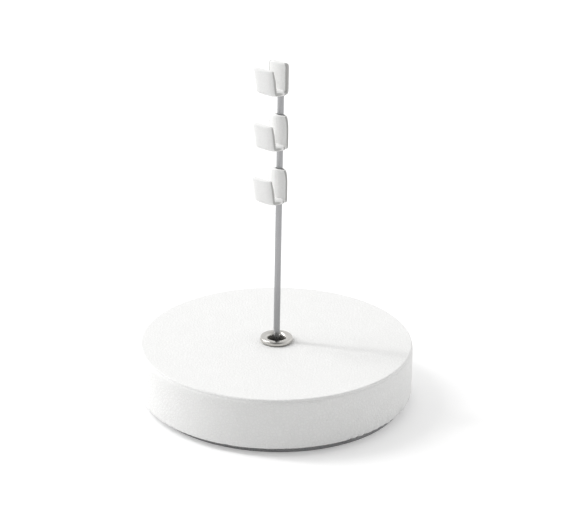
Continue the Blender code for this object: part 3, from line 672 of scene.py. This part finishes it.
def strip_surface():
    """The bridge and flap as one bent pad: its middle line rises forwards, rounds the bend on a
    circle, and goes up the leaning flap; across that line the section is |x / half width|^p +
    |n / half thickness|^2.4 = 1, p being 8 inside and 5 outside, where a crown of bulge x
    (1 - (x / half width)^2) is added. The half thickness goes from the bridge's to the flap's,
    thins on the back side towards the top, and closes round both ends."""
    bend_at = np.array(BEND_POINT_MM)
    forward = np.array([math.cos(BRIDGE_RISE), math.sin(BRIDGE_RISE)])
    upward = np.array([math.sin(FLAP_LEAN), math.cos(FLAP_LEAN)])
    sweep = math.pi / 2 - FLAP_LEAN - BRIDGE_RISE
    tangent = BEND_RADIUS_MM * math.tan(sweep / 2)
    first = bend_at - forward * tangent
    centre = first + BEND_RADIUS_MM * np.array([-forward[1], forward[0]])
    turn = BRIDGE_RISE + np.linspace(0, sweep, 26)
    bend = centre + BEND_RADIUS_MM * np.stack([np.sin(turn), -np.cos(turn)], axis=-1)
    start = first - forward * (first[0] - BRIDGE_START_MM) / forward[0]
    flat = start + (first - start) * np.linspace(0, 1, 30)[:-1, None]
    tip = bend[-1] + upward * (FLAP_TOP_MM - bend[-1][1]) / upward[1]
    upright = bend[-1] + (tip - bend[-1]) * np.linspace(0, 1, 60)[1:, None]
    line = np.concatenate([flat, bend, upright])
    heading = np.concatenate([np.full(len(flat), turn[0]), turn, np.full(len(upright), turn[-1])])
    normal = np.stack([np.sin(heading), -np.cos(heading)], axis=-1)    # outwards round the bend
    travel = np.concatenate([[0], np.cumsum(np.linalg.norm(np.diff(line, axis=0), axis=1))])
    left = travel[-1] - travel
    bent = (heading - BRIDGE_RISE) / sweep
    outer = BRIDGE_HALF_THICK_MM + (FLAP_HALF_THICK_MM - BRIDGE_HALF_THICK_MM) * bent
    thinner = FLAP_HALF_THICK_MM - FLAP_TOP_HALF_THICK_MM
    inner = outer - fade(left, FLAP_THINNING_MM) * 2 * thinner
    thick = rounding(left, FLAP_END_MM) * rounding(travel, BRIDGE_END_MM)
    narrow = BRIDGE_NARROWER_MM * fade(travel, BRIDGE_NARROW_RUN_MM)
    half_width = (FLAP_HALF_WIDTH_MM - narrow
                  - FLAP_CORNER_MM * (1 - rounding(left, FLAP_CORNER_MM))
                  - BRIDGE_END_MM * (1 - rounding(travel, BRIDGE_END_MM)))
    half = (outer + inner) / 2 * thick
    shift = (outer - inner) / 2
    b = np.linspace(0, 2 * math.pi, STRIP_COLUMNS, endpoint=False)
    share = soft(np.cos(b), np.where(np.sin(b) > 0, 5, 8))
    across = share * half_width[:, None]
    offset = shift[:, None] + soft(np.sin(b), 2.4) * half[:, None]
    crown = FLAP_BULGE_MM * (1 - share ** 2) * (np.sin(b) > 0)
    offset += crown * (bent * thick)[:, None]
    return grid_mesh("strip", capped(carried(line, normal, across, offset)), rows_closed=False)


def spring_surface(label):
    """The spring strip in the back leg and bridge: a rectangle carried down a straight line, round
    a bend on a circle, and out along the bridge. Its half width goes from narrow in the leg, where
    the skin is rounded, to full under the slot, by a smooth step of the distance left."""
    forward = np.array([math.cos(BRIDGE_RISE), math.sin(BRIDGE_RISE)])
    sweep = math.pi / 2 + BRIDGE_RISE
    radius = SPRING_BEND_MM + SPRING_HALF_THICK_MM
    corner = np.array([SPRING_FORWARD_MM, SPRING_CORNER_MM])
    tangent = radius * math.tan(sweep / 2)
    first = corner + np.array([0, tangent])
    turn = np.linspace(0, sweep, 16)
    bend = first + radius * np.stack([1 - np.cos(turn), -np.sin(turn)], axis=-1)
    t = np.linspace(0, 1, 20)[:, None]
    down = np.array([SPRING_FORWARD_MM, SPRING_TOP_MM]) * (1 - t) + first * t
    along = bend[-1] + forward * (SPRING_REACH_MM - bend[-1][0]) / forward[0] * t
    line = np.concatenate([down[:-1], bend, along[1:]])
    straight = np.ones(len(t) - 1)
    heading = np.concatenate([0 * straight, turn, sweep * straight])
    normal = np.stack([np.cos(heading), -np.sin(heading)], axis=-1)
    step = np.clip((line[:, 0] - SPRING_FORWARD_MM) / SPRING_WIDENING_RUN_MM, 0, 1)
    half_width = SPRING_HALF_WIDTH_MM + SPRING_WIDENING_MM * step ** 2 * (3 - 2 * step)
    across = np.array([-1.0, 1.0, 1.0, -1.0]) * half_width[:, None]
    offset = np.array([-1.0, -1.0, 1.0, 1.0]) * SPRING_HALF_THICK_MM
    grid = capped(carried(line, normal, across, offset)) * MM
    grid[..., 2] += CLIP_LEVEL[label]
    return grid_mesh(label + "_spring_strip", grid, rows_closed=False)


def edge_shade_shares(places, is_top):
    """How much painted shade each of a clip's points takes at the side edges, from 0 to 1: on the
    flap and bridge by the distance from the middle, on the leg also by the height, after its
    shoulder.
    The closed leg's shaded edge band is the widest."""
    x, y, z = np.abs(places[:, 0]), places[:, 1], places[:, 2]
    top = LEG_TOP_MM["upper" if is_top else "lower"]
    reach, height = LEG_KINDS["closed" if is_top else "open"]["shoulder"]
    leg_edge = LEG_HALF_WIDTH_MM - reach * (1 - rounding(top - z, height))
    if is_top:
        leg_edge = leg_edge - CLOSED_EDGE_SHADE_MM
    edge = np.where(y < LEG_AND_FLAP_MEET_MM, FLAP_HALF_WIDTH_MM, leg_edge)
    return np.clip((x - edge + EDGE_SHADE_IN_MM) / EDGE_SHADE_BLUR_MM, 0, 1)


def folded_skin(name, is_top, top):
    """One clip's unbroken skin: the leg and the bent strip, both in millimetres, are joined by a
    voxel remesh and smoothed."""
    leg, strip = leg_surface(is_top, top), strip_surface()
    work = bmesh.new()
    work.from_mesh(leg)
    work.from_mesh(strip)
    joined = bpy.data.meshes.new(name)
    work.to_mesh(joined)
    work.free()
    body = bpy.data.objects.new(name + "_raw", joined)
    bpy.context.scene.collection.objects.link(body)
    remesh = body.modifiers.new("join", "REMESH")
    remesh.mode = "VOXEL"
    remesh.voxel_size = VOXEL_MM
    remesh.use_smooth_shade = True
    smooth = body.modifiers.new("soften", "SMOOTH")
    smooth.factor = SOFTEN_SHARE
    smooth.iterations = SOFTEN_ROUNDS
    bpy.context.view_layer.update()
    ready = body.evaluated_get(bpy.context.evaluated_depsgraph_get())
    mesh = bpy.data.meshes.new_from_object(ready)
    bpy.data.objects.remove(body)
    for spare in (leg, strip, joined):
        bpy.data.meshes.remove(spare)
    return mesh


# ---------------------------------------------------------------- settings, operators, panel

class JewelryStandSizes(bpy.types.PropertyGroup):
    """Sizes that can be changed before the pieces are made."""

    cover_edge: FloatProperty(
        name="Cover Edge", description="Radius of the base's top edge under the leatherette",
        default=0.5 * MM, min=0.1 * MM, max=3 * MM, unit="LENGTH", subtype="DISTANCE")
    pleat_depth: FloatProperty(
        name="Pleat Depth", description="Depth of the deepest pleat at the base's lower edge",
        default=0.4 * MM, min=0.0, max=0.5 * MM, unit="LENGTH", subtype="DISTANCE")
    flange_height: FloatProperty(
        name="Eyelet Flange", description="Height of the eyelet's flange above the base",
        default=EYELET_HIGH[2] - BASE_TOP, min=0.3 * MM, max=2 * MM,
        unit="LENGTH", subtype="DISTANCE")
    lamp_width: FloatProperty(
        name="Lamp Width", description="Width of the narrow lamp",
        default=0.10, min=0.02, max=2.0, unit="LENGTH", subtype="DISTANCE")
    soft_box_width: FloatProperty(
        name="Soft Box Width", description="Width of the wide lamp",
        default=0.6, min=0.02, max=2.0, unit="LENGTH", subtype="DISTANCE")
    lamp_height: FloatProperty(
        name="Lamp Height", description="Height of both lamps",
        default=1.0, min=0.02, max=4.0, unit="LENGTH", subtype="DISTANCE")


class JewelryStandColours(bpy.types.PropertyGroup):
    """Colours that can be changed before the pieces are made."""

    leatherette: FloatVectorProperty(
        name="Leatherette", description="Colour of the base cover and the clips",
        subtype="COLOR", size=4, min=0.0, max=1.0, default=linear("f2f2f1"))
    felt: FloatVectorProperty(
        name="Felt", description="Colour of the felt under the base",
        subtype="COLOR", size=4, min=0.0, max=1.0, default=linear("bebebf"))


class JEWELRYSTAND_OT_wrap_base(bpy.types.Operator):
    """Wraps the base in leatherette"""
    bl_idname = "jewelry_stand.wrap_base"
    bl_label = "Wrap Base"

    def execute(self, context):
        scene = context.scene
        # Real grain is 0.6 to 1 mm wide. It is drawn at the coarse end, so that it shows.
        finish = leatherette("white_leatherette_wrap", scene.stand_colours.leatherette,
                             pebble_mm=0.95, depth_mm=0.052, mottle=0.02)
        mesh = cover_surface(scene.stand_sizes.cover_edge, scene.stand_sizes.pleat_depth)
        cover = show("leatherette_cover", mesh, finish, 40)
        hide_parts("base_cover")
        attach(cover, "stand")
        return {"FINISHED"}


class JEWELRYSTAND_OT_lay_pad(bpy.types.Operator):
    """Lays the felt pad under the base"""
    bl_idname = "jewelry_stand.lay_pad"
    bl_label = "Lay Pad"

    def execute(self, context):
        finish = felt("needled_grey_felt", context.scene.stand_colours.felt)
        pad = show("felt_pad", pad_surface(), finish, 40)
        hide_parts("base_pad")
        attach(pad, "stand")
        return {"FINISHED"}


class JEWELRYSTAND_OT_set_eyelet(bpy.types.Operator):
    """Sets the nickel-plated eyelet in the middle of the base"""
    bl_idname = "jewelry_stand.set_eyelet"
    bl_label = "Set Eyelet"

    def execute(self, context):
        # Bright nickel over pressed brass: a warm grey mirror with a faint orange peel.
        finish = metal("bright_nickel_plate", "cfcdc9", dull="bdbbb7", rough=(0.10, 0.18),
                       grain_mm=(0.5, 0.5, 0.5), depth_mm=0.004, bore_mm=EYELET_DULL_MM)
        eyelet = show("nickel_eyelet", eyelet_surface(context.scene.stand_sizes.flange_height),
                      finish, 50)
        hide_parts("eyelet")
        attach(eyelet, "stand")
        return {"FINISHED"}


class JEWELRYSTAND_OT_stand_rod(bpy.types.Operator):
    """Stands the drawn steel rod in the eyelet"""
    bl_idname = "jewelry_stand.stand_rod"
    bl_label = "Stand Rod"

    def execute(self, context):
        # Stainless wire, drawn through a die: satin grey with long fine lines up the rod. Real
        # lines are about 0.02 mm wide and are drawn six times that, so that they show.
        finish = metal("drawn_stainless_steel", "acacad", dull="929395", rough=(0.22, 0.36),
                       grain_mm=(0.12, 0.12, 9.0), depth_mm=0.006)
        rod = show("steel_rod", rod_surface(), finish, 30)
        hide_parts("rod")
        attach(rod, "stand")
        return {"FINISHED"}


class JEWELRYSTAND_OT_fold_clips(bpy.types.Operator):
    """Folds the three clips, each one unbroken skin from sleeve to flap"""
    bl_idname = "jewelry_stand.fold_clips"
    bl_label = "Fold Clips"

    def execute(self, context):
        # The clips' thinner leatherette has a finer and flatter grain than the base's.
        finish = leatherette("white_leatherette_strip", context.scene.stand_colours.leatherette,
                             pebble_mm=0.6, depth_mm=0.012, mottle=0.02)
        open_clip = folded_skin("open_clip", False, LEG_TOP_MM["lower"])
        closed_clip = folded_skin("closed_clip", True, LEG_TOP_MM["upper"])
        for label in CLIPS:
            mesh = (closed_clip if label == "upper" else open_clip).copy()
            mesh.name = label + "_clip_skin"
            places = vertex_array(mesh)
            # Painted shade along each clip's side edges, kept for each point.
            edges = edge_shade_shares(places, label == "upper")
            places = places * MM + np.array([0, 0, CLIP_LEVEL[label]])
            mesh.vertices.foreach_set("co", places.ravel())
            mesh.update()
            skin = show(label + "_clip_skin", mesh, finish, edge_shade=edges)
            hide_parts(label + "_sleeve", label + "_bridge", label + "_flap")
            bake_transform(skin)
        return {"FINISHED"}


class JEWELRYSTAND_OT_finish_inner_parts(bpy.types.Operator):
    """Gives the boards, ballast, liners, strips and fixings their own finish"""
    bl_idname = "jewelry_stand.finish_inner_parts"
    bl_label = "Finish Inner Parts"

    def execute(self, context):
        # Zinc-plated steel blanks: a pale bluish grey, cloudy and half matt.
        zinc = metal("zinc_plated_steel", "b4b7bb", dull="93979c", rough=(0.30, 0.45),
                     grain_mm=(1.5, 1.5, 1.5), depth_mm=0.01)
        # Turned brass, coloured near black as painted shade, so that nothing shines in the clips'
        # mouths or in the eyelet's hole.
        shade_dark_brass = metal("brass_in_painted_shade", "2b2724", dull="1a1816", rough=(0.35, 0.55),
                      grain_mm=(0.4, 0.4, 0.4), depth_mm=0.006)
        # Rolled spring steel, blued when it was tempered: dark blue-grey with rolling lines.
        spring = metal("blued_spring_steel", "5c626b", dull="474c54", rough=(0.25, 0.4),
                       grain_mm=(6.0, 0.15, 0.15), depth_mm=0.004)
        finishes = {
            "base_core": board("raw_fibreboard", "a5825a", "7d5c3a", (1.2, 1.2, 0.25)),
            "hem_infill_board": board("greyboard", "8d8c88", "6f6e6a", (0.8, 0.8, 0.2)),
            "ballast_plate": zinc, "rod_washer": zinc, "rod_nut": zinc, "eyelet_washer": zinc,
            "rod_bush": shade_dark_brass,
        }
        for label in CLIPS:
            finishes[label + "_liner"] = shade_dark_brass
            finishes[label + "_flap_strip"] = spring
            strip = show(label + "_spring_strip", spring_surface(label), spring, 30)
            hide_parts(label + "_strip")
            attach(strip, label + "_clip")
        for name, finish in finishes.items():
            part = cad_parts[name]
            if not part.material_slots:
                part.data.materials.append(finish)
            for place in part.material_slots:
                place.material = finish
        return {"FINISHED"}


class JEWELRYSTAND_OT_set_stage(bpy.types.Operator):
    """Lays the pale floor, lights the room, hangs the lamps and places the camera"""
    bl_idname = "jewelry_stand.set_stage"
    bl_label = "Set Stage"

    def execute(self, context):
        scene = context.scene
        scene.view_settings.view_transform = "Standard"
        right = Vector((math.cos(CAMERA_AZIMUTH), math.sin(CAMERA_AZIMUTH), 0))
        ahead = Vector((-math.sin(CAMERA_AZIMUTH), math.cos(CAMERA_AZIMUTH), 0))
        self.lay_floor(scene)
        self.light_room(scene, right, ahead)
        sizes = scene.stand_sizes
        for name, width, level in (("strip_box", sizes.lamp_width, STRIP_BOX_LEVEL),
                                   ("soft_box", sizes.soft_box_width, SOFT_BOX_LEVEL)):
            self.hang_lamp(scene, right, ahead, name, width, level)
        self.place_camera(scene)
        return {"FINISHED"}

    def lay_floor(self, scene):
        """A wide sheet of matt white board under the stand. What the camera sees of it glows a
        little, so that it ends in white away from the shadows."""
        material, tree = new_material("pale_floor")
        matt = node(tree, "ShaderNodeBsdfDiffuse", {"Color": (0.9, 0.9, 0.9, 1.0)})
        path = node(tree, "ShaderNodeLightPath")
        seen = node(tree, "ShaderNodeMath",
                    {0: path.outputs["Is Camera Ray"], 1: path.outputs["Is Glossy Ray"]},
                    operation="MAXIMUM")
        lift = node(tree, "ShaderNodeMath", {0: seen.outputs[0], 1: FLOOR_GLOW},
                    operation="MULTIPLY")
        glow = node(tree, "ShaderNodeEmission", {"Strength": lift.outputs[0]})
        surface(tree, node(tree, "ShaderNodeAddShader", {0: matt.outputs[0], 1: glow.outputs[0]}))
        reach, level = 4.0, -0.02 * MM    # a hair under the pad, so that the two don't meet
        mesh = bpy.data.meshes.new("floor")
        mesh.from_pydata([(-reach, -reach, level), (reach, -reach, level), (reach, reach, level),
                          (-reach, reach, level)], [], [(0, 1, 2, 3)])
        mesh.materials.append(material)
        floor = bpy.data.objects.new("floor", mesh)
        scene.collection.objects.link(floor)

    def light_room(self, scene, right, ahead):
        """A pale studio that is darkest on the camera's side: strength level + sides r^2 +
        back b, with r and b the cosines to the right and to the back. What the camera sees
        directly is white, and metal mirrors the room."""
        world = bpy.data.worlds.new("pale_studio")
        scene.world = world
        world.use_nodes = True
        tree = world.node_tree
        tree.nodes.clear()
        heading = node(tree, "ShaderNodeTexCoord").outputs["Generated"]
        slope = node(tree, "ShaderNodeVectorMath", {0: heading, 1: ahead * ROOM_BACK},
                     operation="DOT_PRODUCT").outputs["Value"]
        sides = node(tree, "ShaderNodeVectorMath", {0: heading, 1: right * math.sqrt(ROOM_SIDES)},
                     operation="DOT_PRODUCT").outputs["Value"]
        square = node(tree, "ShaderNodeMath", {0: sides, 1: sides, 2: ROOM_LEVEL},
                      operation="MULTIPLY_ADD")
        room = node(tree, "ShaderNodeMath", {0: slope, 1: square.outputs[0]}, operation="ADD")
        path = node(tree, "ShaderNodeLightPath")
        seen = node(tree, "ShaderNodeMath",
                    {0: path.outputs["Is Camera Ray"], 1: path.outputs["Is Transmission Ray"]},
                    operation="MAXIMUM")
        strength = node(tree, "ShaderNodeMix",
                        {MIX_SHARE: seen.outputs[0], MIX_VALUE_FIRST: room.outputs[0],
                         MIX_VALUE_SECOND: 1.0}, data_type="FLOAT")
        sky = node(tree, "ShaderNodeBackground", {"Strength": strength.outputs[0]})
        node(tree, "ShaderNodeOutputWorld", {"Surface": sky.outputs[0]})

    def hang_lamp(self, scene, right, ahead, name, width, level):
        """One of two tall lamps on the left, slightly behind. The narrow one throws the rod's
        crisp shadow and the wide one the soft shadow beside the base."""
        level_way = -right * math.cos(LAMP_TURN) + ahead * math.sin(LAMP_TURN)
        direction = level_way * math.cos(LAMP_RISE) + Vector((0, 0, math.sin(LAMP_RISE)))
        lamp = bpy.data.lights.new(name, "AREA")
        lamp.shape = "RECTANGLE"
        lamp.size = width
        lamp.size_y = scene.stand_sizes.lamp_height
        # On a level surface at that distance the lamp alone gives this share of full white.
        lamp.energy = math.pi ** 2 * LAMP_DISTANCE ** 2 * level / math.sin(LAMP_RISE)
        holder = bpy.data.objects.new(name, lamp)
        scene.collection.objects.link(holder)
        holder.location = Vector(CAMERA_TARGET) + direction * LAMP_DISTANCE
        holder.rotation_euler = direction.to_track_quat("Z", "Y").to_euler()
        holder.visible_camera = False

    def place_camera(self, scene):
        """The camera at the photograph's angle, distance, roll and field of view."""
        data = bpy.data.cameras.new("camera")
        data.sensor_width = 36.0
        data.lens = data.sensor_width * FOCAL_PIXELS / FRAME_WIDTH
        data.clip_start = 0.01
        holder = bpy.data.objects.new("camera", data)
        scene.collection.objects.link(holder)
        tilt = CAMERA_PITCH - CAMERA_ELEVATION
        forward = Vector((math.sin(CAMERA_YAW) * math.cos(tilt),
                          math.cos(CAMERA_YAW) * math.cos(tilt), math.sin(tilt)))
        level = Vector((math.cos(CAMERA_YAW), -math.sin(CAMERA_YAW), 0))
        above = level.cross(forward)
        x_axis = math.cos(CAMERA_ROLL) * level + math.sin(CAMERA_ROLL) * above
        y_axis = -math.sin(CAMERA_ROLL) * level + math.cos(CAMERA_ROLL) * above
        pose = Matrix((x_axis, y_axis, -forward)).transposed().to_4x4()
        pose.translation = (0, -CAMERA_DISTANCE * math.cos(CAMERA_ELEVATION),
                            CAMERA_DISTANCE * math.sin(CAMERA_ELEVATION))
        turned_round = Matrix.Rotation(CAMERA_AZIMUTH, 4, "Z")
        holder.matrix_world = Matrix.Translation(CAMERA_TARGET) @ turned_round @ pose
        scene.camera = holder


OPERATORS = (
    JEWELRYSTAND_OT_wrap_base,
    JEWELRYSTAND_OT_lay_pad,
    JEWELRYSTAND_OT_set_eyelet,
    JEWELRYSTAND_OT_stand_rod,
    JEWELRYSTAND_OT_fold_clips,
    JEWELRYSTAND_OT_finish_inner_parts,
    JEWELRYSTAND_OT_set_stage,
)


class JEWELRYSTAND_PT_sidebar(bpy.types.Panel):
    """Lists the stand's sizes and colours, and a button for each step that makes its pieces"""
    bl_idname = "JEWELRYSTAND_PT_sidebar"
    bl_label = "Jewelry Stand"
    bl_space_type = "VIEW_3D"
    bl_region_type = "UI"
    bl_category = "Jewelry Stand"

    def draw(self, context):
        for group in (context.scene.stand_sizes, context.scene.stand_colours):
            for name in group.bl_rna.properties.keys():
                if name not in {"rna_type", "name"}:
                    self.layout.prop(group, name)
        for operator in OPERATORS:
            self.layout.operator(operator.bl_idname)


CLASSES = (JewelryStandSizes, JewelryStandColours) + OPERATORS + (JEWELRYSTAND_PT_sidebar,)


def register():
    """Registers the classes and hangs the settings on the scene."""
    for each in CLASSES:
        bpy.utils.register_class(each)
    bpy.types.Scene.stand_sizes = PointerProperty(type=JewelryStandSizes)
    bpy.types.Scene.stand_colours = PointerProperty(type=JewelryStandColours)


def unregister():
    """Takes the settings and classes away again."""
    del bpy.types.Scene.stand_colours
    del bpy.types.Scene.stand_sizes
    for each in reversed(CLASSES):
        bpy.utils.unregister_class(each)


def main():
    register()
    for operator in OPERATORS:
        getattr(bpy.ops.jewelry_stand, operator.bl_idname.split(".")[1])()


if __name__ == "__main__":
    main()
